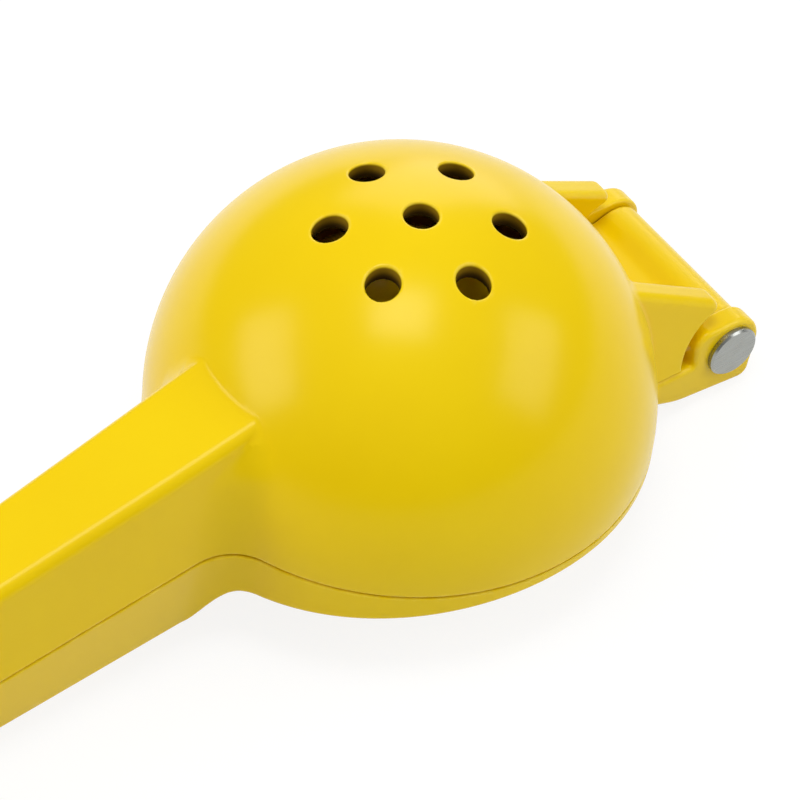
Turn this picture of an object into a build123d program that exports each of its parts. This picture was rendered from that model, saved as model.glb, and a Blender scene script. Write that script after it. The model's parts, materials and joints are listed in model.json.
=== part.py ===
from build123d import *
import math
import os

# Hinged lemon squeezer: a perforated strainer bowl with its handle, a press with a convex pusher and its
# handle, and the hinge pin that joins them. Millimetres.
#
# The pieces are built in the bowl's own frame: the origin is the bowl's axis in the plane of its rim, +Z points
# up the dome and +X towards the hinge. The closed tool is then laid on its two heels and its handle's tip.

# Bowl
bowl_radius = 38.0             # outside of the dome
bowl_wall = 2.8
rim_drop = 1.9                 # rim plane below the centre of the dome
seam_gap = 0.3                 # open seam between the bowl and the press

# Strainer holes
drain_hole_radius = 2.6
drain_hole_edge = 0.35         # rounding of the outer edge
drain_ring_radius = 13.0
drain_ring_count = 6

# Press: pusher, flange and skirt
pusher_radius = 28.6           # outside of the pusher dome
pusher_drop = 2.4              # centre of the pusher dome below the rim plane
pusher_wall = 2.8
flange_thickness = 1.8
skirt_wall = 2.8               # rim wall that runs into the handle
skirt_sweep_radius = 160.0     # curve of the skirt's lower edge, seen from the side
skirt_sweep_angle = 16.0       # degrees of that curve, up to the neck
skirt_sweep_start = 8.0        # it leaves the flange this far in front of the bowl's axis

# Handles. Distances run from the bowl's axis, half widths are at the seam.
handle_length = 168.0
handle_droop = 12.2            # degrees below the rim plane
droop_lead = 0.6               # the seam turns down this far past the bowl
droop_bend_radius = 20.0
handle_draft = 5.7             # degrees, each side
neck_half_width = 9.6          # where the seam turns down
waist_half_width = 7.3
waist_distance = 100.0
waist_curve_radius = 250.0
tip_half_width = 7.8
tip_corner_radius = 7.2
neck_fillet_radius = 9.0       # between the handle's sides and the bowl

# Bowl's handle, heights above the seam
crest_root_inset = 14.0        # the crest's inner end, inside the dome's outline
crest_root_height = 20.3
crest_neck_distance = 55.0
crest_neck_height = 18.4
crest_mid_distance = 80.0
crest_mid_height = 17.3
crest_tip_height = 13.5
crest_edge_radius = 2.7

# Press's handle, depths below the seam
keel_neck_distance = 43.0
keel_neck_depth = 13.75
keel_tip_depth = 9.4
keel_edge_radius = 0.8         # lower edge of the press, all round

# Hollows of the handles
channel_wall = 2.8
channel_neck_web = 3.0         # between the bowl and the channel
tip_pad_length = 17.0          # solid end of each handle
hang_hole_radius = 2.5
hang_hole_inset = 8.8          # from the tip

# Hinge
hinge_reach = 49.4             # bowl's axis to the pin's axis
pin_radius = 2.5
pin_clearance = 0.05           # running fit of the pin in the barrel
pin_head_radius = 4.25
pin_head_thickness = 1.0
pin_head_chamfer = 0.3
barrel_radius = 4.6
lug_clearance = 0.2            # between the barrel's ends and the lugs
lug_inner_face = 13.1          # from the middle plane
lug_thickness = 3.6
lug_eye_radius = 5.4
lug_cheek_reach = 6.8          # from the pin's axis back to the lug's cheek
lug_cheek_radius = 2.8
lug_heel_reach = 4.3           # from the pin's axis forward to the heel
lug_heel_radius = 1.8
lug_depth = 7.9                # heel below the rim plane
lug_knee_reach = 40.0
lug_knee_depth = 6.7
lug_knee_radius = 14.0
lug_root_reach = 27.0          # the lugs leave the flange here
lug_edge_radius = 0.8
rib_thickness = 4.2
rib_draft = 7.0                # degrees, outer faces
rib_relief_radius = 9.1        # clears the lug's heel as it swings
rib_crest_reach = 46.8
rib_crest_height = 10.2
rib_crest_slope = 30.0         # degrees, down from the dome
rib_edge_radius = 1.2          # crest edges of the ribs
web_height = 3.4               # floor of the pocket between the ribs, above the rim plane

FAR = 400.0                    # larger than the tool, for cutting tools

droop = math.radians(handle_droop)
droop_start = bowl_radius + droop_lead
crest_root_distance = bowl_radius - crest_root_inset
flange_bottom = -seam_gap - flange_thickness
rim_radius = math.sqrt(bowl_radius**2 - rim_drop**2)
block_lead = 10.0              # the handle's block starts this far past the seam
block_reach = 30.0

# The handles' own plane: the straight part of the seam, x outwards to the tip, z towards the crest.
handle_plane = Plane(
    origin=(-droop_start, 0, 0),
    x_dir=(-math.cos(droop), 0, -math.sin(droop)),
    z_dir=(-math.sin(droop), 0, math.cos(droop)),
)
tip_distance = (handle_length - droop_start) / math.cos(droop)


def seam_z(distance):
    """Height of the seam at a distance from the bowl's axis, on its straight part."""
    return (droop_start - distance) * math.tan(droop)


def side_slab(face, half_width=FAR):
    """A side profile, x and z as drawn, spread across the tool's width."""
    return extrude(Plane.XZ.offset(half_width) * face, 2 * half_width, dir=(0, 1, 0))


def polygon(points):
    return make_face(Polyline(*points, close=True))


def nearest(vertices, x, y):
    return vertices.sort_by_distance((x, y, 0))[0]


def above_seam(offset):
    """Everything above the seam, raised by an offset."""
    bend = (-droop_start, offset)
    far_end = (-FAR, seam_z(FAR) + offset)
    face = polygon([(FAR, offset), bend, far_end, (-FAR, FAR), (FAR, FAR)])
    return side_slab(fillet(nearest(face.vertices(), *bend), droop_bend_radius))


def handle_outline(inset, outset):
    """Plan of both handles in their own plane, less an inset all round, grown by an outset."""
    root = -droop_start
    widening = (neck_half_width - waist_half_width) / (waist_distance - droop_start)
    shrink = inset - outset
    root_half = neck_half_width + widening * droop_start - shrink
    waist = (waist_distance - droop_start) / math.cos(droop)
    tip = tip_distance - shrink
    half = [(root, -root_half), (waist, shrink - waist_half_width), (tip, shrink - tip_half_width)]
    other = [(x, -y) for x, y in reversed(half)]
    face = polygon(half + other)
    for side in (1, -1):
        face = fillet(nearest(face.vertices(), waist, side * (waist_half_width - shrink)), waist_curve_radius)
    for side in (1, -1):
        corner = nearest(face.vertices(), tip, side * (tip_half_width - shrink))
        face = fillet(corner, tip_corner_radius - shrink)
    return face


def handle_block(direction, inset=0.0):
    """The handle's drafted sides, from a lead past the seam up (1) or down (-1) to the reach."""
    start = handle_plane.offset(-direction * block_lead)
    outset = block_lead * math.tan(math.radians(handle_draft))
    face = start * handle_outline(inset, outset)
    return extrude(face, direction * (block_reach + block_lead), taper=handle_draft)


def between(near, far):
    """The slab across the handles between two distances from the bowl's axis."""
    return Pos(-(near + far) / 2, 0, 0) * Box(far - near, FAR, FAR)


def crest_slab(offset):
    """Everything under the bowl handle's crest, lowered by an offset."""
    crest = [
        (crest_root_distance, crest_root_height),
        (crest_neck_distance, crest_neck_height),
        (crest_mid_distance, crest_mid_height),
        (handle_length, crest_tip_height),
    ]
    points = [(-distance, seam_z(distance) + height - offset) for distance, height in crest]
    curve = Spline(*points)
    root, tip = points[0], points[-1]
    tip_slope = curve % 1
    outer_end = (-FAR, tip[1] + tip_slope.Y / tip_slope.X * (-FAR - tip[0]))
    rest = Polyline(tip, outer_end, (-FAR, -FAR), (root[0], -FAR), root)
    return side_slab(make_face(curve + rest))


def keel_slab(offset):
    """Everything above the press's underside, raised by an offset."""
    angle = math.radians(skirt_sweep_angle)
    low = flange_bottom + offset
    sweep_start = Vector(skirt_sweep_start, low)
    sweep_end = Vector(
        skirt_sweep_start - skirt_sweep_radius * math.sin(angle),
        low - skirt_sweep_radius * (1 - math.cos(angle)),
    )
    sweep = TangentArc(sweep_start, sweep_end, tangent=(-1, 0))
    neck = Vector(-keel_neck_distance, seam_z(keel_neck_distance) - keel_neck_depth + offset)
    tip = Vector(-handle_length, seam_z(handle_length) - keel_tip_depth + offset)
    keel_slope = (tip - neck).normalized()
    joiner = Spline(sweep_end, neck, tangents=(sweep % 1, keel_slope))
    outer_end = neck + keel_slope * FAR
    rest = Polyline(neck, outer_end, (outer_end.X, FAR), (FAR, FAR), (FAR, low), sweep_start)
    return side_slab(make_face(sweep + joiner + rest))


def on_round(edge):
    """Whether an edge lies on the round of the bowl, on the handle's side of its axis."""
    points = (edge @ 0, edge @ 0.5, edge @ 1)
    on_dome = all(abs(math.hypot(p.X, p.Y, p.Z - rim_drop) - bowl_radius) < 0.01 for p in points)
    return on_dome and points[1].X < -bowl_radius / 2


def highest_face(shape):
    return max((f for f in shape.faces() if f.normal_at().Z > 0.8), key=lambda f: f.area)


def outline_of(faces):
    """The edges round a group of faces, without those two of them share."""
    edges = [e for f in faces for e in f.edges()]
    return [e for e in edges if sum((e @ 0.5 - other @ 0.5).length < 0.001 for other in edges) == 1]


def mirrored(shape):
    return shape + mirror(shape, Plane.XZ)


def bowl_handle():
    handle = handle_block(1) & crest_slab(0) & between(crest_root_distance, FAR)
    crest_edges = [e for e in highest_face(handle).edges() if (e @ 0.5).X < -crest_root_distance - 1]
    return handle.fillet(crest_edge_radius, crest_edges)


def channel(direction, slab):
    """The hollow inside a handle, open at the seam."""
    span = between(bowl_radius + channel_neck_web, handle_length - tip_pad_length)
    return handle_block(direction, channel_wall) & slab & span


def rib():
    """One side rib of the hinge, drafted outside, with a relief round the lug."""
    outer = lug_inner_face + lug_thickness
    inner = outer - rib_thickness
    lean = math.tan(math.radians(rib_draft))
    top = bowl_radius
    section = polygon([(inner, 0), (outer, 0), (outer - top * lean, top), (inner - top * lean, top)])
    web = extrude(Plane.YZ * section, hinge_reach)
    rise = math.tan(math.radians(rib_crest_slope))
    root = bowl_radius * 0.6
    crest_root = rib_crest_height + (rib_crest_reach - root) * rise
    profile = polygon([(root, 0), (hinge_reach, 0), (rib_crest_reach, rib_crest_height), (root, crest_root)])
    profile = fillet(nearest(profile.vertices(), rib_crest_reach, rib_crest_height), rib_edge_radius)
    plate = web & side_slab(profile)
    crest = [e for e in plate.edges() if (e @ 0.5).X > root + 1 and min((e @ 0).Z, (e @ 1).Z) > rib_crest_height / 2]
    crest = [e for e in crest if abs((e @ 0).Y - (e @ 1).Y) < rib_thickness / 2]
    return plate.fillet(rib_edge_radius, crest) - cross_cylinder(rib_relief_radius, FAR)


def cross_cylinder(radius, half_length):
    """A cylinder along the hinge's axis, centred on the middle plane."""
    return Pos(hinge_reach, 0, 0) * Rot(90, 0, 0) * Cylinder(radius, 2 * half_length)


def bowl_hinge():
    """Two ribs, the barrel between the lugs, and the web that carries it."""
    half_length = lug_inner_face - lug_clearance
    barrel = cross_cylinder(barrel_radius, half_length)
    web_start = bowl_radius * 0.6
    web_length = hinge_reach - web_start
    web = Pos(web_start + web_length / 2, 0, web_height / 2) * Box(web_length, 2 * half_length, web_height)
    return barrel + web + mirrored(rib())


def drain_holes():
    drill = Pos(0, 0, bowl_radius) * Cylinder(drain_hole_radius, bowl_radius)
    ring = PolarLocations(drain_ring_radius, drain_ring_count, start_angle=90)
    return [drill] + [place * drill for place in ring]


def hang_hole():
    """Through the tip pads, square to the handles' plane."""
    place = handle_plane * Pos(tip_distance - hang_hole_inset, 0, 0)
    return place * Cylinder(hang_hole_radius, 2 * block_reach)


def is_drain_edge(edge):
    middle = edge @ 0.5
    outside = math.hypot(middle.X, middle.Y, middle.Z - rim_drop) > bowl_radius - 0.01
    reach = drain_ring_radius + 2 * drain_hole_radius
    return outside and middle.Z > 0 and math.hypot(middle.X, middle.Y) < reach


def bowl_half():
    centre = Pos(0, 0, rim_drop)
    body = centre * Sphere(bowl_radius) + bowl_handle()
    neck = [e for e in body.edges() if on_round(e) and handle_plane.to_local_coords(e @ 0.5).Z > 1 - block_lead]
    body = body.fillet(neck_fillet_radius, neck)
    body = body & above_seam(0)
    body += bowl_hinge()
    body -= centre * Sphere(bowl_radius - bowl_wall)
    body -= channel(1, crest_slab(channel_wall))
    body -= cross_cylinder(pin_radius + pin_clearance, FAR)
    body -= hang_hole()
    for drill in drain_holes():
        body -= drill
    return body.fillet(drain_hole_edge, [e for e in body.edges() if is_drain_edge(e)])


def lug():
    """One side lug of the hinge: cheek and eye above the seam, heel and knee below it."""
    heel = (hinge_reach + lug_heel_reach, -lug_depth)
    cheek = (hinge_reach - lug_cheek_reach, lug_eye_radius)
    knee = (lug_knee_reach, -lug_knee_depth)
    outline = [
        (lug_root_reach, -seam_gap),
        (lug_root_reach, flange_bottom),
        knee,
        heel,
        (hinge_reach + lug_eye_radius, 0),
        (hinge_reach, lug_eye_radius),
        cheek,
        (cheek[0], -seam_gap),
    ]
    face = polygon(outline)
    face = fillet(nearest(face.vertices(), *cheek), lug_cheek_radius)
    face = fillet(nearest(face.vertices(), *heel), lug_heel_radius)
    face = fillet(nearest(face.vertices(), *knee), lug_knee_radius)
    face += Pos(hinge_reach, 0) * Circle(lug_eye_radius)
    outer = lug_inner_face + lug_thickness
    plate = extrude(Plane.XZ.offset(-lug_inner_face) * face, lug_thickness, dir=(0, 1, 0))
    outer_face = plate.faces().sort_by(Axis.Y)[-1]
    rim = [e for e in outer_face.edges() if (e @ 0.5).X > bowl_radius and (e @ 0.5).Y > outer - 0.01]
    return plate.fillet(lug_edge_radius, rim)


def on_skirt(edge):
    """Whether an edge stands on the skirt's wall, on the handle's side of the bowl's axis."""
    points = (edge @ 0, edge @ 0.5, edge @ 1)
    on_wall = all(abs(math.hypot(p.X, p.Y) - rim_radius) < 0.01 for p in points)
    return on_wall and points[1].X < -bowl_radius / 2


def press_blank():
    """Skirt and handle as one solid block: drafted sides, necked into the skirt, over the keel's curve."""
    disc = Cylinder(rim_radius, 4 * block_reach)
    handle = handle_block(-1) & between(rim_radius / 2, FAR)
    body = disc + handle
    neck = [e for e in body.edges() if on_skirt(e) and abs((e @ 0.5).Y) > neck_half_width / 2]
    upright = [e for e in neck if abs((e @ 0).Z - (e @ 1).Z) > block_reach / 2]
    body = body.fillet(neck_fillet_radius, upright)
    body = body & keel_slab(0) - above_seam(-seam_gap)
    underside = [f for f in body.faces() if f.normal_at().Z < -0.4]
    return body.fillet(keel_edge_radius, outline_of(underside))


def press_half():
    body = press_blank()
    recess_depth = 2 * block_reach
    recess = Pos(0, 0, flange_bottom - recess_depth / 2) * Cylinder(rim_radius - skirt_wall, recess_depth)
    body -= recess
    body -= channel(-1, keel_slab(channel_wall))
    centre = Pos(0, 0, -pusher_drop)
    upper = Pos(0, 0, FAR / 2 + flange_bottom) * Box(FAR, FAR, FAR)
    body += centre * Sphere(pusher_radius) & upper
    body -= centre * Sphere(pusher_radius - pusher_wall)
    body += mirrored(lug())
    body -= cross_cylinder(pin_radius, FAR)
    body -= hang_hole()
    return body


def hinge_pin():
    half_length = lug_inner_face + lug_thickness
    head = Cylinder(pin_head_radius, pin_head_thickness)
    head = head.chamfer(pin_head_chamfer, pin_head_chamfer, [head.edges().sort_by(Axis.Z)[-1]])
    top = Pos(0, 0, half_length + pin_head_thickness / 2) * head
    pin = Cylinder(pin_radius, 2 * half_length) + top + mirror(top, Plane.XY)
    return Pos(hinge_reach, 0, 0) * Rot(90, 0, 0) * pin


def lowest(shape, tilt):
    return (Rot(0, tilt, 0) * shape).bounding_box().min.Z


def resting_tilt(press):
    """The turn about Y, in degrees, that brings the heels and the press's tip to one level."""
    heels = press & Pos(hinge_reach, 0, 0) * Box(bowl_radius / 2, FAR, FAR)
    tip = press & between(handle_length - tip_pad_length, FAR)
    tilt = handle_droop / 2
    for _ in range(4):
        step = lowest(heels, tilt) - lowest(tip, tilt)
        tilt += math.degrees(math.atan(step / (hinge_reach + handle_length)))
    return tilt


nodes = {"bowl_half": bowl_half(), "press_half": press_half(), "hinge_pin": hinge_pin()}
tilted = {name: Rot(0, resting_tilt(nodes["press_half"]), 0) * shape for name, shape in nodes.items()}
box = Compound(children=[Compound([shape]) for shape in tilted.values()]).bounding_box()
stance = Pos(-box.center().X, 0, -box.min.Z)

os.makedirs("parts", exist_ok=True)
for name, shape in tilted.items():
    export_step(stance * shape, f"parts/{name}.step")
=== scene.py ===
"""Looks of the hinged lemon squeezer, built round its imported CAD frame.

The two castings are modelled as smooth solids: each is a signed distance in the bowl's own frame,
in millimetres, meshed on a grid and refined where it curves. The hinge pin is the CAD solid itself.
"""

import json
import math

import bpy
import numpy as np
from mathutils import Matrix, Vector


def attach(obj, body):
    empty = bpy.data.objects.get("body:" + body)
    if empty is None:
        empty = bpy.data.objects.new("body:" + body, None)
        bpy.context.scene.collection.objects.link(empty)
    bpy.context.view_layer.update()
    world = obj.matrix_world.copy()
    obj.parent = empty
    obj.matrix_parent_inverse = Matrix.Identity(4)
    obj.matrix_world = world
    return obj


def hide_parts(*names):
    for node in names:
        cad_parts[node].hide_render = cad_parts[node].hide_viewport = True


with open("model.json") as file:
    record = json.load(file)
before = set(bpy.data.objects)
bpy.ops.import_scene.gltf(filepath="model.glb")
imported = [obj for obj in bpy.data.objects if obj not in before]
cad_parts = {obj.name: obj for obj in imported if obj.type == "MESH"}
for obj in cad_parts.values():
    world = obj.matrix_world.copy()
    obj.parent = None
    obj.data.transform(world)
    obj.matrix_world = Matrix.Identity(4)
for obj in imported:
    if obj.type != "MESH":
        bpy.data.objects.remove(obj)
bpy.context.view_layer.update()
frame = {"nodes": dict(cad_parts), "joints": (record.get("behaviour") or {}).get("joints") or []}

MM = 0.001

# Castings, millimetres, in the bowl's frame: its axis at the rim plane, +X to the hinge, +Z up the dome
BOWL_RADIUS = 38.0
BOWL_WALL = 2.8
RIM_DROP = 1.9
SEAM_GAP = 0.3
HINGE_GAP = 0.1                # the seam closes up to this towards the hinge
HINGE_GAP_REACH = BOWL_RADIUS * 0.75
DRAIN_RADIUS = 2.6
DRAIN_RING = 13.0
DRAIN_COUNT = 6
PUSHER_RADIUS = 28.6
PUSHER_DROP = 2.4
PUSHER_WALL = 2.8
FLANGE = 1.8
SKIRT_WALL = 2.8
SWEEP_RADIUS = 160.0
SWEEP_ANGLE = math.radians(16.0)
SWEEP_START = 8.0
HANDLE_LENGTH = 168.0
DROOP = math.radians(12.2)
DROOP_START = BOWL_RADIUS + 0.6
DROOP_BEND = 20.0
DRAFT = math.radians(5.7)
NECK_HALF = 9.6
WAIST_HALF = 7.3
WAIST = 100.0
TIP_HALF = 7.8
TIP_CORNER = 7.2
CREST_POINTS = [(24.0, 20.3), (55.0, 18.3), (80.0, 17.0), (HANDLE_LENGTH, 13.3)]
CREST_EDGE = 1.9
KEEL_NECK = (43.0, 13.75)
KEEL_TIP = (HANDLE_LENGTH, 9.3)
KEEL_EDGE = 0.8
CHANNEL_WALL = 2.8
CHANNEL_WEB = 3.0
TIP_PAD = 17.0
HANG_RADIUS = 2.5
HANG_INSET = 8.8
HINGE_REACH = 49.4
PIN_RADIUS = 2.5
PIN_CLEARANCE = 0.05
BARREL_RADIUS = 4.6
LUG_INNER = 13.1
LUG_OUTER = 16.7
SIDE_PLAY = 0.2                # between the barrel and a lug
BARREL_HALF = LUG_INNER - SIDE_PLAY
EYE_RADIUS = 5.4
CHEEK_REACH = 6.8
CHEEK_ROUND = 2.8
HEEL = (53.7, -7.9)
HEEL_ROUND = 1.8
KNEE = (40.0, -6.7)
KNEE_ROUND = 14.0
LUG_ROOT = 27.0
LUG_EDGE = 0.8
RIB_INNER = 12.5
RIB_DRAFT = math.radians(7.0)
RIB_RELIEF = 9.1               # radius about the pin that the ribs leave free
RIB_CREST = (46.8, 10.2)
RIB_SLOPE = math.radians(30.0)
RIB_EDGE = 1.2
RIB_CORNER = 2.2
WEB_HEIGHT = 3.4               # floor of the pocket between the ribs
WEB_END = 1.5                  # the web stops this far short of the pin's axis
HINGE_ROOT = 22.8              # inside the dome's wall

# Blends of the cast surfaces, millimetres
NECK_BLEND = 8.6               # beside the handle, low down
CREASE_BLEND = 1.6             # where the crest meets the dome
CREASE_FROM, CREASE_TO = 12.0, 20.0     # the first gives way to the second between these heights
SEAM_EDGE = 0.15, 0.35         # under the dome, and along the handles
HOLE_EDGE = 0.35
WAIST_ROUND = 0.1              # the turn of the handles' sides at the waist
BARREL_EDGE = 0.5
WEB_FILLET = 3.0               # between web and barrel
RIB_FILLET = 1.4               # between the ribs and those two
RELIEF_EDGE = 0.6
HINGE_FILLET = 0.5             # between hinge and dome
BOWL_LIP = 0.5
BORE_EDGE = 0.3
CHANNEL_CORNER = 1.5
CHANNEL_LIP = 0.5
CHEEK_FILLET = 0.6
LUG_INNER_EDGE = 0.4
LUG_FILLET = 1.0
RECESS_CORNER = 1.2
SKIRT_LIP = 0.5
PUSHER_FILLET = 1.2
PUSHER_LIP = 0.7
COSINE_LIMIT = 0.9             # a blend takes no flatter meeting of two surfaces than this
DRAIN_MARGIN = 0.4, 0.2        # distances outside a drain hole between which the painted shade on its wall begins

GRID = 1.0                     # spacing of the grid that the castings are meshed on
FINEST = 0.2                   # shortest edge that the refinement splits
TURN = math.radians(10.0)      # it splits an edge whose ends' normals differ by more
REFINEMENTS = 4                # rounds of it, at most
GRADIENT_STEP = 0.01
KEEL_STEP = 0.05
BEND_STEP = 0.5

RIM_RADIUS = math.sqrt(BOWL_RADIUS**2 - RIM_DROP**2)
FLANGE_BOTTOM = -SEAM_GAP - FLANGE
TIP_REACH = (HANDLE_LENGTH - DROOP_START) / math.cos(DROOP)


# ---------------------------------------------------------------- distance fields

def round_max(a, b, r, cosine=0.0):
    """What is inside both, with the edge rounded to r. The cosine is between the surfaces' normals."""
    u, v = a + r, b + r
    rounded = np.sqrt(np.maximum(u * u + v * v - 2 * u * v * cosine, 0) / (1 - cosine * cosine)) - r
    return np.where((u > v * cosine) & (v > u * cosine), rounded, np.maximum(a, b))


def round_min(a, b, r, cosine=0.0):
    """What is inside either, with a fillet of r where they meet."""
    return -round_max(-a, -b, r, cosine)


def smooth_step(value, low, high):
    """0 up to low, 1 from high, and a smooth rise between."""
    t = np.clip((value - low) / (high - low), 0, 1)
    return t * t * (3 - 2 * t)


def sphere(x, y, z, radius, height):
    return np.sqrt(x * x + y * y + (z - height) ** 2) - radius


def seam_line(distance):
    """Height of the seam's straight part at a distance from the bowl's axis."""
    return (DROOP_START - distance) * math.tan(DROOP)


def seam_height(x):
    """Height of the seam along the tool: level under the bowl, an arc, then the droop of the handles."""
    tangent = DROOP_BEND * math.tan(DROOP / 2)
    arc_start = -DROOP_START + tangent
    arc_end = arc_start - DROOP_BEND * math.sin(DROOP)
    reach = np.clip(arc_start - x, 0, DROOP_BEND * math.sin(DROOP))
    arc = -DROOP_BEND + np.sqrt(DROOP_BEND**2 - reach**2)
    return arc + np.minimum(x - arc_end, 0) * math.tan(DROOP)


def handle_axes(x, z):
    """Distance out along the drooping seam, and height square to it."""
    along = -(x + DROOP_START) * math.cos(DROOP) - z * math.sin(DROOP)
    up = -(x + DROOP_START) * math.sin(DROOP) + z * math.cos(DROOP)
    return along, up


def handle_sides(x, y, z, direction, inset=0.0):
    """The handles' drafted sides and rounded end; direction is 1 above the seam and -1 below."""
    along, up = handle_axes(x, z)
    waist = (WAIST - DROOP_START) / math.cos(DROOP)
    root_slope = (WAIST_HALF - NECK_HALF) / (WAIST - DROOP_START)
    tip_slope = (TIP_HALF - WAIST_HALF) / (TIP_REACH - waist)
    mean = (root_slope + tip_slope) / 2 * (along - waist)
    swing = (tip_slope - root_slope) / 2 * (along - waist)
    half = WAIST_HALF + mean + np.sqrt(swing**2 + WAIST_ROUND**2)
    beyond = along - (TIP_REACH - TIP_CORNER)
    beside = np.abs(y) - (half - TIP_CORNER)
    outside = np.hypot(np.maximum(beyond, 0), np.maximum(beside, 0))
    plan = np.minimum(np.maximum(beyond, beside), 0) + outside
    lean = direction * up * math.tan(DRAFT)
    return (plan - TIP_CORNER + inset + lean) * math.cos(DRAFT)


def crest(x, z):
    """Height above the bowl handle's crest, and the crest's slope."""
    places = [-distance for distance, _ in CREST_POINTS]
    heights = [seam_line(distance) + height for distance, height in CREST_POINTS]
    curve = np.polyfit(places, heights, 3)
    slope = np.polyval(np.polyder(curve), x)
    return (z - np.polyval(curve, x)) / np.sqrt(1 + slope**2), slope


def keel_height(x):
    """Height of the press's underside along the tool."""
    sweep_end = SWEEP_START - SWEEP_RADIUS * math.sin(SWEEP_ANGLE)
    sweep_low = FLANGE_BOTTOM - SWEEP_RADIUS * (1 - math.cos(SWEEP_ANGLE))
    reach = np.clip(SWEEP_START - x, 0, SWEEP_RADIUS * math.sin(SWEEP_ANGLE))
    sweep = FLANGE_BOTTOM - SWEEP_RADIUS + np.sqrt(SWEEP_RADIUS**2 - reach**2)
    neck, tip = -KEEL_NECK[0], -KEEL_TIP[0]
    neck_low = seam_line(KEEL_NECK[0]) - KEEL_NECK[1]
    tip_low = seam_line(KEEL_TIP[0]) - KEEL_TIP[1]
    slope = (tip_low - neck_low) / (tip - neck)
    span = sweep_end - neck
    t = np.clip((sweep_end - x) / span, 0, 1)
    joiner = (
        sweep_low * (2 * t**3 - 3 * t**2 + 1)
        - span * math.tan(SWEEP_ANGLE) * (t**3 - 2 * t**2 + t)
        + neck_low * (3 * t**2 - 2 * t**3)
        - span * slope * (t**3 - t**2)
    )
    straight = neck_low + (x - neck) * slope
    return np.where(x > sweep_end, sweep, np.where(x > neck, joiner, straight))


def pin_distance(x, z):
    """Distance from the pin's axis."""
    return np.hypot(x - HINGE_REACH, z)


def hang_hole(x, y, z):
    """The hole through the handles' ends, square to the drooping seam."""
    along, _ = handle_axes(x, z)
    return np.hypot(along - (TIP_REACH - HANG_INSET), y) - HANG_RADIUS


def seam_edge(x):
    """Rounding of the castings' edges along the seam."""
    return SEAM_EDGE[0] + (SEAM_EDGE[1] - SEAM_EDGE[0]) * smooth_step(-x, 0, BOWL_RADIUS)


def seam_gap(x):
    """Width of the open seam."""
    return SEAM_GAP + (HINGE_GAP - SEAM_GAP) * smooth_step(x, 0, HINGE_GAP_REACH)


def side_cosine(nx, ny, nz, direction):
    """Cosine between a unit normal and the normal of the handle's side near the neck."""
    narrowing = (NECK_HALF - WAIST_HALF) / (WAIST - DROOP_START)
    outward = -nx * math.cos(DROOP) - nz * math.sin(DROOP)
    upward = -nx * math.sin(DROOP) + nz * math.cos(DROOP)
    lean = direction * math.tan(DRAFT)
    return (narrowing * outward + np.abs(ny) + lean * upward) / math.hypot(1, narrowing, lean)


def necked_dome(x, y, z):
    """The dome and the handle, with a wide fillet beside the handle and a tight one over its crest."""
    dome = sphere(x, y, z, BOWL_RADIUS, RIM_DROP)
    reach = np.maximum(dome + BOWL_RADIUS, 1)
    nx, ny, nz = x / reach, y / reach, (z - RIM_DROP) / reach
    sides = handle_sides(x, y, z, 1)
    top, slope = crest(x, z)
    beside, over = np.maximum(sides + CREST_EDGE, 0), np.maximum(top + CREST_EDGE, 0)
    crest_cosine = (nz - slope * nx) / np.sqrt(1 + slope**2)
    cosine = beside * side_cosine(nx, ny, nz, 1) + over * crest_cosine
    cosine = np.clip(cosine / np.maximum(np.hypot(beside, over), 0.001), -COSINE_LIMIT, COSINE_LIMIT)
    _, up = handle_axes(x, z)
    crease = smooth_step(up, CREASE_FROM, CREASE_TO)
    blend = NECK_BLEND + (CREASE_BLEND - NECK_BLEND) * crease
    handle = np.maximum(round_max(sides, top, CREST_EDGE), x + BOWL_RADIUS / 2)
    return round_min(dome, handle, blend, cosine)


def barrel(x, y, z):
    """The bowl's hinge barrel, between the lugs."""
    return round_max(pin_distance(x, z) - BARREL_RADIUS, np.abs(y) - BARREL_HALF, BARREL_EDGE)


def bowl_hinge(x, y, z):
    """The ribs, and the web under the pocket between them, blended into the barrel."""
    side = np.abs(y)
    lean = z * math.tan(RIB_DRAFT)
    flanks = np.maximum(side - LUG_OUTER + lean, RIB_INNER - lean - side) * math.cos(RIB_DRAFT)
    slope = (z - RIB_CREST[1]) * math.cos(RIB_SLOPE) + (x - RIB_CREST[0]) * math.sin(RIB_SLOPE)
    rise, run = RIB_CREST[1], HINGE_REACH - RIB_CREST[0]
    front = ((x - HINGE_REACH) * rise + z * run) / math.hypot(rise, run)
    corner = math.atan2(rise, run) - RIB_SLOPE
    rib = round_max(flanks, round_max(slope, front, RIB_CORNER, math.cos(corner)), RIB_EDGE)
    rib = round_max(rib, RIB_RELIEF - pin_distance(x, z), RELIEF_EDGE)
    web = np.maximum(np.maximum(z - WEB_HEIGHT, x - HINGE_REACH + WEB_END), side - BARREL_HALF)
    # web and barrel end in one plane, which the blend would swell into the lugs
    joined = round_min(web, barrel(x, y, z), WEB_FILLET, WEB_HEIGHT / BARREL_RADIUS)
    joined = np.maximum(joined, side - BARREL_HALF)
    return np.maximum(round_min(rib, joined, RIB_FILLET), HINGE_ROOT - x)


def drain_holes(x, y, z):
    """One hole on the axis and a ring round it."""
    holes = np.hypot(x, y)
    for i in range(DRAIN_COUNT):
        angle = math.pi / 2 + 2 * math.pi * i / DRAIN_COUNT
        centre = DRAIN_RING * math.cos(angle), DRAIN_RING * math.sin(angle)
        holes = np.minimum(holes, np.hypot(x - centre[0], y - centre[1]))
    return np.maximum(holes - DRAIN_RADIUS, BOWL_RADIUS / 2 - z)


def drain_shade_depth(x, y, z):
    """Depth below the dome on the walls of the drain holes, millimetres; 0 everywhere else. It sets
    where the holes' walls get painted shade.
    """
    depth = -sphere(x, y, z, BOWL_RADIUS, RIM_DROP)
    wall = smooth_step(-drain_holes(x, y, z), -DRAIN_MARGIN[0], -DRAIN_MARGIN[1])
    return np.where(depth < BOWL_WALL + HOLE_EDGE, depth * wall, 0)


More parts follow.
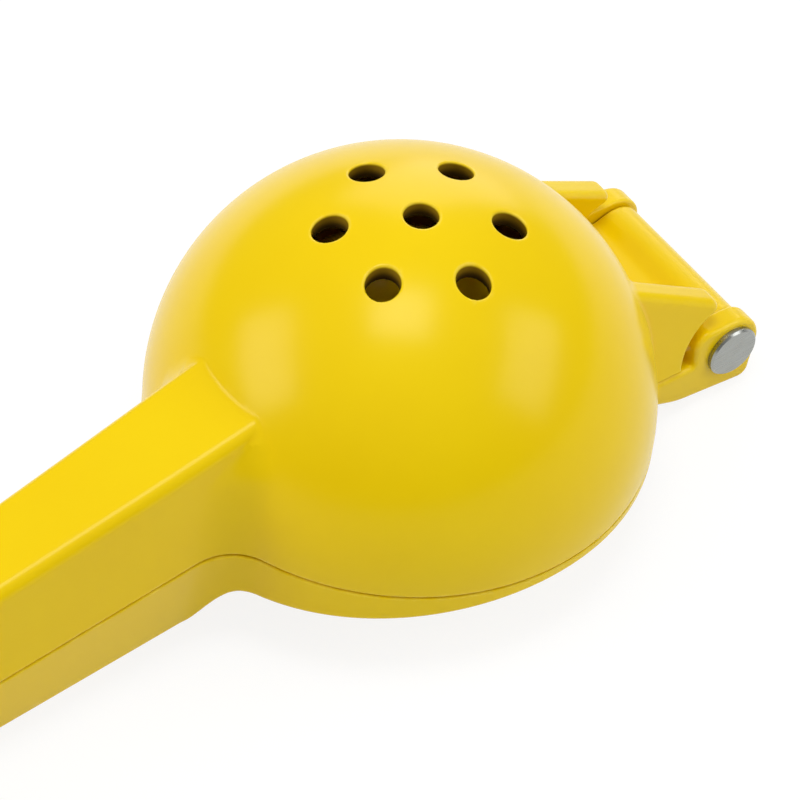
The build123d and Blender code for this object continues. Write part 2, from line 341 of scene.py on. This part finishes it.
def channel(x, y, z, direction, cover):
    """The hollow inside a handle, a wall's thickness in from its sides and its cover."""
    ends = np.maximum(x + BOWL_RADIUS + CHANNEL_WEB, -x - HANDLE_LENGTH + TIP_PAD)
    sides = handle_sides(x, y, z, direction, CHANNEL_WALL)
    return round_max(round_max(sides, cover + CHANNEL_WALL, CHANNEL_CORNER), ends, CHANNEL_CORNER)


def bowl_casting(x, y, z):
    """The bowl half: dome, handle, ribs and barrel, hollowed and bored."""
    body = round_min(necked_dome(x, y, z), bowl_hinge(x, y, z), HINGE_FILLET)
    seam = (seam_height(x) - z) * np.where(x < -DROOP_START, math.cos(DROOP), 1)
    body = np.minimum(round_max(body, seam, seam_edge(x)), barrel(x, y, z))
    body = round_max(body, -sphere(x, y, z, BOWL_RADIUS - BOWL_WALL, RIM_DROP), BOWL_LIP)
    body = round_max(body, -channel(x, y, z, 1, crest(x, z)[0]), CHANNEL_LIP)
    body = round_max(body, PIN_RADIUS + PIN_CLEARANCE - pin_distance(x, z), BORE_EDGE)
    body = round_max(body, -hang_hole(x, y, z), HOLE_EDGE)
    return round_max(body, -drain_holes(x, y, z), HOLE_EDGE)


def lug(x, y, z):
    """The press's two lugs: cheek and eye above the seam, heel and knee below it."""
    side = np.abs(y)
    knee_rise = (KNEE[1] - FLANGE_BOTTOM) / (KNEE[0] - LUG_ROOT)
    shin = (FLANGE_BOTTOM + (x - LUG_ROOT) * knee_rise - z) / math.hypot(1, knee_rise)
    heel_rise = (HEEL[1] - KNEE[1]) / (HEEL[0] - KNEE[0])
    sole = (KNEE[1] + (x - KNEE[0]) * heel_rise - z) / math.hypot(1, heel_rise)
    toe = HINGE_REACH + EYE_RADIUS
    lean = (HEEL[0] - toe) / HEEL[1]
    front = x - toe - np.minimum(z, 0) * lean
    top = z - EYE_RADIUS
    knee_cosine = math.cos(math.atan(knee_rise) - math.atan(heel_rise))
    heel = round_max(round_max(shin, sole, KNEE_ROUND, knee_cosine), front, HEEL_ROUND)
    eye = round_max(top, front, EYE_RADIUS)
    cheek = round_max(HINGE_REACH - CHEEK_REACH - x, top, CHEEK_ROUND)
    cheek = round_min(cheek, z + SEAM_GAP, CHEEK_FILLET)
    outline = np.maximum(np.maximum(heel, eye), np.maximum(cheek, LUG_ROOT - x))
    outer = round_max(outline, side - LUG_OUTER, LUG_EDGE)
    return round_max(outer, LUG_INNER - side, LUG_INNER_EDGE)


def press_casting(x, y, z):
    """The press half: flange, skirt, handle, lugs and pusher, hollowed and bored."""
    disc = np.hypot(x, y) - RIM_RADIUS
    sides = np.maximum(handle_sides(x, y, z, -1), x + RIM_RADIUS / 2)
    keel_slope = (keel_height(x + KEEL_STEP) - keel_height(x - KEEL_STEP)) / (2 * KEEL_STEP)
    keel = (keel_height(x) - z) / np.sqrt(1 + keel_slope**2)
    reach = np.maximum(disc + RIM_RADIUS, 1)
    cosine = np.clip(side_cosine(x / reach, y / reach, 0, -1), -COSINE_LIMIT, COSINE_LIMIT)
    body = round_max(round_min(disc, sides, NECK_BLEND, cosine), keel, KEEL_EDGE)
    recess = round_max(np.hypot(x, y) - RIM_RADIUS + SKIRT_WALL, z - FLANGE_BOTTOM, RECESS_CORNER)
    body = round_max(body, -recess, SKIRT_LIP)
    body = round_min(body, lug(x, y, z), LUG_FILLET)
    pusher = np.maximum(sphere(x, y, z, PUSHER_RADIUS, -PUSHER_DROP), FLANGE_BOTTOM - z)
    seam = (z + seam_gap(x) - seam_height(x)) * np.where(x < -DROOP_START, math.cos(DROOP), 1)
    body = round_max(body, seam, seam_edge(x))
    # the blend stays above the underside that pusher and flange share
    body = np.minimum(body, np.maximum(round_min(body, pusher, PUSHER_FILLET), FLANGE_BOTTOM - z))
    hollow = sphere(x, y, z, PUSHER_RADIUS - PUSHER_WALL, -PUSHER_DROP)
    body = round_max(body, -hollow, PUSHER_LIP)
    body = np.minimum(body, lug(x, y, z))
    body = round_max(body, -channel(x, y, z, -1, keel), CHANNEL_LIP)
    body = np.maximum(body, PIN_RADIUS - pin_distance(x, z))
    return round_max(body, -hang_hole(x, y, z), HOLE_EDGE)


# ---------------------------------------------------------------- meshing

CORNERS = np.array([(i, j, k) for i in (0, 1) for j in (0, 1) for k in (0, 1)])


def cell_points(values, cells):
    """For each cell that the surface crosses, the mean of its crossings with the cell's edges."""
    corner = [values[tuple((cells + c).T)] for c in CORNERS]
    total = np.zeros((len(cells), 3))
    count = np.zeros(len(cells))
    for a in range(8):
        for b in range(a + 1, 8):
            step = CORNERS[b] - CORNERS[a]
            if np.abs(step).sum() != 1:
                continue
            crossed = (corner[a] < 0) != (corner[b] < 0)
            share = corner[a][crossed] / (corner[a][crossed] - corner[b][crossed])
            total[crossed] += CORNERS[a] + share[:, None] * step
            count += crossed
    return cells + total / count[:, None]


def surface_net(values):
    """Vertices, in grid steps, and quads round the region where the values are negative."""
    inside = values < 0
    n = np.array(values.shape) - 1
    blocks = (inside[i : i + n[0], j : j + n[1], k : k + n[2]] for i, j, k in CORNERS)
    corners = sum(block.astype(np.int8) for block in blocks)
    crossed = (corners > 0) & (corners < 8)
    cells = np.argwhere(crossed)
    index = np.zeros(crossed.shape, np.int64)
    index[crossed] = np.arange(len(cells))
    quads = []
    for axis in range(3):
        b, c = (axis + 1) % 3, (axis + 2) % 3
        low = inside[tuple(slice(0, -1) if k == axis else slice(None) for k in range(3))]
        high = inside[tuple(slice(1, None) if k == axis else slice(None) for k in range(3))]
        edges = np.argwhere(low != high)
        step_b, step_c = np.eye(3, dtype=int)[b], np.eye(3, dtype=int)[c]
        ring = [edges, edges - step_b, edges - step_b - step_c, edges - step_c]
        quad = np.stack([index[tuple(place.T)] for place in ring], axis=1)
        outward = low[tuple(edges.T)]
        quad[~outward] = quad[~outward][:, ::-1]
        quads.append(quad)
    return cell_points(values, cells), np.concatenate(quads)


def gradient(field, points):
    """The field's value and unit gradient at each point."""
    value = field(*points.T)
    steps = GRADIENT_STEP * np.eye(3)
    slope = np.stack([field(*(points + step).T) - field(*(points - step).T) for step in steps], 1)
    return value, slope / np.maximum(np.linalg.norm(slope, axis=1), 1e-9)[:, None]


def bend(field, points):
    """How sharply the surface bends, per millimetre: positive on edges, negative in hollows."""
    steps = [side * BEND_STEP * axis for axis in np.eye(3) for side in (1, -1)]
    around = sum(field(*(points + step).T) for step in steps)
    return (around - len(steps) * field(*points.T)) / BEND_STEP**2


def settle(field, points, rounds=3):
    """Moves points onto the surface along the gradient. Returns them and the surface's normals."""
    for _ in range(rounds):
        value, normal = gradient(field, points)
        points = points - normal * np.clip(value, -GRID / 2, GRID / 2)[:, None]
    return points, gradient(field, points)[1]


def split_edges(points, normals, triangles):
    """Splits each long edge across which the surface turns.

    Returns the ends of the edges that got a middle, and the triangles.
    """
    edges = np.concatenate([triangles[:, [0, 1]], triangles[:, [1, 2]], triangles[:, [2, 0]]])
    edges.sort(axis=1)
    unique, back = np.unique(edges, axis=0, return_inverse=True)
    back = back.reshape(3, -1)
    ends = points[unique[:, 0]], points[unique[:, 1]]
    length = np.linalg.norm(ends[0] - ends[1], axis=1)
    cosine = (normals[unique[:, 0]] * normals[unique[:, 1]]).sum(axis=1)
    wanted = (cosine < math.cos(TURN)) & (length > 2 * FINEST)
    middle = np.full(len(unique), -1)
    middle[wanted] = len(points) + np.arange(wanted.sum())
    ab, bc, ca = middle[back]
    a, b, c = triangles.T
    split = (ab >= 0).astype(int) + (bc >= 0) + (ca >= 0)
    parts = [triangles[split == 0]]

    def add(chosen, *corners):
        parts.append(np.stack([corner[chosen] for corner in corners], axis=1))

    whole = split == 3
    add(whole, ab, bc, ca)
    for p, q, r, pq, qr, rp in ((a, b, c, ab, bc, ca), (b, c, a, bc, ca, ab), (c, a, b, ca, ab, bc)):
        add(whole, p, pq, rp)
        one = (split == 1) & (pq >= 0)
        add(one, p, pq, r)
        add(one, pq, q, r)
        two = (split == 2) & (rp < 0)
        add(two, pq, q, qr)
        add(two, p, pq, qr)
        add(two, p, qr, r)
    return unique[wanted], np.concatenate(parts)


def meshed(field, low, high):
    """Points, normals and triangles of the field's surface inside a box, refined where it turns."""
    axes = [np.arange(a - GRID, b + 2 * GRID, GRID) for a, b in zip(low, high)]
    values = field(*np.meshgrid(*axes, indexing="ij"))
    points, quads = surface_net(values)
    origin = np.array([axis[0] for axis in axes])
    points, normals = settle(field, origin + points * GRID)
    triangles = np.concatenate([quads[:, [0, 1, 2]], quads[:, [0, 2, 3]]])
    for _ in range(REFINEMENTS):
        ends, triangles = split_edges(points, normals, triangles)
        if not len(ends):
            break
        fresh, turned = settle(field, points[ends].mean(axis=1))
        points, normals = np.concatenate([points, fresh]), np.concatenate([normals, turned])
    return points, normals, triangles


# ---------------------------------------------------------------- from the bowl's frame to the row frame

hinge = next(j for j in frame["joints"] if j["name"] == "bowl_hinge")
RESTING_TILT = math.radians(7.5956)     # the closed tool lies on its heels and the handle's tip
stance = (
    Matrix.Translation(Vector(hinge["pos_m"]))
    @ Matrix.Rotation(RESTING_TILT, 4, "Y")
    @ Matrix.Translation(Vector((-HINGE_REACH * MM, 0, 0)))
)


def cast_piece(name, field, low, high):
    """A mesh object of the field's surface, in the row frame."""
    points, normals, triangles = meshed(field, low, high)
    turn = np.array(stance.to_3x3())
    mesh = bpy.data.meshes.new(name)
    placed = points * MM @ turn.T + np.array(stance.translation)
    mesh.from_pydata(placed.tolist(), [], triangles.tolist())
    mesh.polygons.foreach_set("use_smooth", [True] * len(mesh.polygons))
    mesh.normals_split_custom_set_from_vertices((normals @ turn.T).tolist())
    mesh.attributes.new("bend", "FLOAT", "POINT").data.foreach_set("value", bend(field, points))
    # how deep a point lies on a drain hole's wall, which sets the painted shade there
    mesh.attributes.new("drain", "FLOAT", "POINT").data.foreach_set("value", drain_shade_depth(*points.T))
    piece = bpy.data.objects.new(name, mesh)
    bpy.context.scene.collection.objects.link(piece)
    return piece


# Corners of a box round each casting
BOWL_BOX = (-170, -39, -29), (55, 39, 41)
PRESS_BOX = (-169, -39, -39), (56, 39, 28)

bowl = cast_piece("strainer_bowl", bowl_casting, *BOWL_BOX)
press = cast_piece("press_casting", press_casting, *PRESS_BOX)
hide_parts("bowl_half")
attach(bowl, "bowl")
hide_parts("press_half")
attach(press, "press")


# ---------------------------------------------------------------- materials

ENAMEL_DEEP = (0.83, 0.565, 0.0, 1.0)
ENAMEL_LIGHT = (0.86, 0.61, 0.0, 1.0)
# darker, more orange colour for the hollows: pooled enamel and painted shade
ENAMEL_POOLED_SHADE = (0.80, 0.46, 0.0, 1.0)
ENAMEL_WORN = (0.97, 0.76, 0.12, 1.0)
# painted shade down the drain holes' walls: dark brown, then nearly black deeper down
DRAIN_WALL_SHADE = (0.26, 0.14, 0.012, 1.0)
DRAIN_DEEP_SHADE = (0.06, 0.032, 0.006, 1.0)
STEEL_DARK = (0.33, 0.34, 0.32, 1.0)
STEEL_LIGHT = (0.38, 0.39, 0.37, 1.0)
STEEL_TARNISH = (0.30, 0.30, 0.26, 1.0)
ENAMEL_TINT = (0.94, 1.0, 0.7, 1.0)
ENAMEL_SPECULAR = 0.24
ENAMEL_ROUGHNESS = 0.21, 0.26      # kept below 4/15, where the shader would show contour lines
STEEL_ROUGHNESS = 0.24, 0.34

# Heights of the bumps, metres
ENAMEL_WAVE = 0.00006
ENAMEL_GRAIN = 0.000004
STEEL_LINE = 0.000004


class Shading:
    """A Principled material and short names for the nodes that feed it."""

    def __init__(self, name):
        self.made = bpy.data.materials.new(name)
        self.made.use_nodes = True
        self.tree = self.made.node_tree
        self.shader = self.tree.nodes["Principled BSDF"]

    def node(self, kind, **settings):
        made = self.tree.nodes.new(kind)
        for name, value in settings.items():
            setattr(made, name, value)
        return made

    def feed(self, socket, value):
        """Sets a socket to a constant, or links an output to it."""
        if isinstance(value, bpy.types.NodeSocket):
            self.tree.links.new(value, socket)
        else:
            socket.default_value = value

    def noise(self, coordinates, scale, detail=2.0, roughness=0.5):
        made = self.node("ShaderNodeTexNoise")
        self.feed(made.inputs["Vector"], coordinates)
        made.inputs["Scale"].default_value = scale
        made.inputs["Detail"].default_value = detail
        made.inputs["Roughness"].default_value = roughness
        return made.outputs["Fac"]

    def stretched(self, coordinates, scale):
        made = self.node("ShaderNodeMapping")
        self.feed(made.inputs["Vector"], coordinates)
        made.inputs["Scale"].default_value = scale
        return made.outputs["Vector"]

    def ranged(self, value, low, high, to_low, to_high, smooth=False):
        """The value from one range carried over to another, and held at its ends."""
        made = self.node("ShaderNodeMapRange", interpolation_type="SMOOTHSTEP" if smooth else "LINEAR")
        names = "Value", "From Min", "From Max", "To Min", "To Max"
        for name, each in zip(names, (value, low, high, to_low, to_high)):
            self.feed(made.inputs[name], each)
        return made.outputs["Result"]

    def times(self, a, b):
        made = self.node("ShaderNodeMath", operation="MULTIPLY")
        self.feed(made.inputs[0], a)
        self.feed(made.inputs[1], b)
        return made.outputs["Value"]

    def blend(self, share, a, b):
        """Colour a, or b where the share is 1."""
        made = self.node("ShaderNodeMix", data_type="RGBA")
        self.feed(made.inputs["Factor"], share)
        self.feed(made.inputs["A"], a)
        self.feed(made.inputs["B"], b)
        return made.outputs["Result"]

    def bump(self, height, distance, under=None):
        made = self.node("ShaderNodeBump")
        made.inputs["Strength"].default_value = 1.0
        made.inputs["Distance"].default_value = distance
        self.feed(made.inputs["Height"], height)
        if under is not None:
            self.feed(made.inputs["Normal"], under)
        return made.outputs["Normal"]


def enamel():
    """Glossy yellow enamel: a soft orange peel, thin on the edges, darker in the hollows as pooled
    enamel and painted shade, with painted shade down the drain holes.
    """
    look = Shading("yellow_enamel")
    place = look.node("ShaderNodeTexCoord").outputs["Object"]
    edges = look.node("ShaderNodeAttribute", attribute_name="bend").outputs["Fac"]
    cloud = look.noise(place, 35.0, 3.0)
    grain = look.noise(place, 900.0, 2.0)
    colour = look.blend(look.ranged(cloud, 0.2, 0.8, 0.0, 1.0, smooth=True), ENAMEL_DEEP, ENAMEL_LIGHT)
    # darker in the hollows and creases: pooled enamel and painted shade
    pooled_shade = look.ranged(edges, -0.2, -1.6, 0.0, 0.4, smooth=True)
    colour = look.blend(pooled_shade, colour, ENAMEL_POOLED_SHADE)
    thin = look.ranged(edges, 0.45, 1.8, 0.0, 1.0, smooth=True)
    patchy = look.ranged(look.noise(place, 260.0, 4.0, 0.65), 0.42, 0.66, 0.03, 0.35)
    colour = look.blend(look.times(thin, patchy), colour, ENAMEL_WORN)
    # painted shade on the drain holes' walls, darker the deeper it goes
    depth = look.node("ShaderNodeAttribute", attribute_name="drain").outputs["Fac"]
    colour = look.blend(look.ranged(depth, 0.1, 0.6, 0.0, 0.9, smooth=True), colour, DRAIN_WALL_SHADE)
    colour = look.blend(look.ranged(depth, 0.7, 2.2, 0.0, 1.0, smooth=True), colour, DRAIN_DEEP_SHADE)
    look.feed(look.shader.inputs["Base Color"], colour)
    rubbed = look.ranged(look.noise(place, 60.0, 2.0), 0.2, 0.8, *ENAMEL_ROUGHNESS, smooth=True)
    look.feed(look.shader.inputs["Roughness"], rubbed)
    look.shader.inputs["Specular IOR Level"].default_value = ENAMEL_SPECULAR
    look.shader.inputs["Specular Tint"].default_value = ENAMEL_TINT
    waves = look.bump(look.noise(place, 90.0, 0.0), ENAMEL_WAVE)
    look.feed(look.shader.inputs["Normal"], look.bump(grain, ENAMEL_GRAIN, waves))
    return look.made


def steel():
    """Brushed steel, with fine lines across the heads and a little tarnish."""
    look = Shading("pin_steel")
    place = look.node("ShaderNodeTexCoord").outputs["Object"]
    lines = look.noise(look.stretched(place, (160.0, 800.0, 5200.0)), 1.0, 3.0, 0.6)
    cloud = look.noise(place, 420.0, 3.0)
    colour = look.blend(look.ranged(lines, 0.35, 0.65, 0.0, 1.0), STEEL_DARK, STEEL_LIGHT)
    colour = look.blend(look.ranged(cloud, 0.45, 0.75, 0.0, 0.35), colour, STEEL_TARNISH)
    look.feed(look.shader.inputs["Base Color"], colour)
    look.shader.inputs["Metallic"].default_value = 1.0
    look.feed(look.shader.inputs["Roughness"], look.ranged(lines, 0.3, 0.7, *STEEL_ROUGHNESS))
    look.feed(look.shader.inputs["Normal"], look.bump(lines, STEEL_LINE))
    return look.made


def coat(piece, made):
    """Gives a piece one material in place of what it had."""
    piece.data.materials.clear()
    piece.data.materials.append(made)


yellow = enamel()
coat(bowl, yellow)
coat(press, yellow)
coat(frame["nodes"]["hinge_pin"], steel())


# ---------------------------------------------------------------- camera, floor and light

CAMERA_DISTANCE = 0.950
CAMERA_BACK = Vector((-0.453, -0.523, 0.722)).normalized()      # in the bowl's frame, towards the camera
CAMERA_RIGHT = Vector((0.8058, -0.5866, 0.0805))
FOCAL_PIXELS, FRAME_PIXELS, SENSOR = 6445.0, 800.0, 36.0
SHIFT_PIXELS = -3.0

FLOOR_HALF = 3.0               # metres
FLOOR_LIT = 0.8                # the floor as light meets it
FLOOR_SEEN = 0.16              # and as the camera does: a part that takes the shadow,
FLOOR_GLOW = 0.86              # and a part that glows
HORIZON, ZENITH = 0.15, 0.64   # strength of the world's light

camera_data = bpy.data.cameras.new("camera")
camera_data.sensor_width = SENSOR
camera_data.lens = FOCAL_PIXELS / FRAME_PIXELS * SENSOR
camera_data.shift_y = SHIFT_PIXELS / FRAME_PIXELS
camera_data.clip_start, camera_data.clip_end = 0.01, 20.0
camera = bpy.data.objects.new("camera", camera_data)
bpy.context.scene.collection.objects.link(camera)
back = CAMERA_BACK
right = (CAMERA_RIGHT - back * CAMERA_RIGHT.dot(back)).normalized()
up = back.cross(right)
turned = Matrix((right, up, back)).transposed().to_4x4()
dome_centre = Vector((0, 0, RIM_DROP * MM))
camera.matrix_world = stance @ Matrix.Translation(dome_centre + back * CAMERA_DISTANCE) @ turned
bpy.context.scene.camera = camera

floor_mesh = bpy.data.meshes.new("floor")
around = [(FLOOR_HALF * i, FLOOR_HALF * j, 0) for i, j in ((-1, -1), (1, -1), (1, 1), (-1, 1))]
floor_mesh.from_pydata(around, [], [(0, 1, 2, 3)])
floor = bpy.data.objects.new("floor", floor_mesh)
bpy.context.scene.collection.objects.link(floor)


def seen(look):
    """1 for rays by which the camera sees a thing, directly, mirrored or through glass, else 0."""
    path = look.node("ShaderNodeLightPath").outputs
    both = look.node("ShaderNodeMath", operation="MAXIMUM")
    look.feed(both.inputs[0], path["Is Camera Ray"])
    look.feed(both.inputs[1], path["Is Glossy Ray"])
    every = look.node("ShaderNodeMath", operation="MAXIMUM")
    look.feed(every.inputs[0], both.outputs["Value"])
    look.feed(every.inputs[1], path["Is Transmission Ray"])
    return every.outputs["Value"]


def backdrop():
    """A pale floor that shows as white and keeps a faint shadow of the tool."""
    look = Shading("backdrop")
    look.shader.inputs["Base Color"].default_value = (FLOOR_LIT, FLOOR_LIT, FLOOR_LIT, 1)
    look.shader.inputs["Roughness"].default_value = 0.9
    look.shader.inputs["Specular IOR Level"].default_value = 0.0
    shadow = look.node("ShaderNodeBsdfDiffuse")
    shadow.inputs["Color"].default_value = (FLOOR_SEEN, FLOOR_SEEN, FLOOR_SEEN, 1)
    glow = look.node("ShaderNodeEmission")
    glow.inputs["Strength"].default_value = FLOOR_GLOW
    white = look.node("ShaderNodeAddShader")
    mix = look.node("ShaderNodeMixShader")
    look.feed(white.inputs[0], shadow.outputs["BSDF"])
    look.feed(white.inputs[1], glow.outputs["Emission"])
    look.feed(mix.inputs["Fac"], seen(look))
    look.feed(mix.inputs[1], look.shader.outputs["BSDF"])
    look.feed(mix.inputs[2], white.outputs["Shader"])
    look.feed(look.tree.nodes["Material Output"].inputs["Surface"], mix.outputs["Shader"])
    return look.made


coat(floor, backdrop())

# The room: brighter overhead than at the horizon
world = bpy.data.worlds.new("studio")
world.use_nodes = True
nodes, links = world.node_tree.nodes, world.node_tree.links
outlook = nodes.new("ShaderNodeTexCoord")
parts = nodes.new("ShaderNodeSeparateXYZ")
height = nodes.new("ShaderNodeMapRange")
height.inputs["To Min"].default_value = HORIZON
height.inputs["To Max"].default_value = ZENITH
links.new(outlook.outputs["Generated"], parts.inputs["Vector"])
links.new(parts.outputs["Z"], height.inputs["Value"])
links.new(height.outputs["Result"], nodes["Background"].inputs["Strength"])
nodes["Background"].inputs["Color"].default_value = (1, 1, 1, 1)
bpy.context.scene.world = world


# Softboxes: name, direction in the bowl's frame, size in metres and level.
# Each stands upright as the camera sees it.
AWAY = Vector((1.0, 1.3, 0.6))
SOFTBOXES = (
    ("overhead", (-0.125, -0.049, 0.990), (0.42, 0.36), 0.315),
    ("left", (-0.806, 0.415, 0.421), (0.42, 0.64), 0.36),
    ("right", (0.559, -0.597, 0.576), (0.42, 0.66), 0.29),
    ("back", (0.62, 0.70, 0.40), (0.80, 0.50), 0.27),
)


def softbox(name, direction, size, level):
    """An area lamp aimed at the dome from a metre away.

    The level is the light that it adds on a face turned to it.
    """
    data = bpy.data.lights.new(name, "AREA")
    data.shape = "RECTANGLE"
    data.size, data.size_y = size
    data.energy = level * math.pi**2
    lamp = bpy.data.objects.new(name, data)
    bpy.context.scene.collection.objects.link(lamp)
    outward = Vector(direction).normalized()
    upright = (AWAY - outward * AWAY.dot(outward)).normalized()
    axes = Matrix((upright.cross(outward), upright, outward)).transposed().to_4x4()
    lamp.matrix_world = stance @ Matrix.Translation(dome_centre + outward) @ axes


for softbox_values in SOFTBOXES:
    softbox(*softbox_values)

bpy.context.scene.view_settings.view_transform = "Standard"
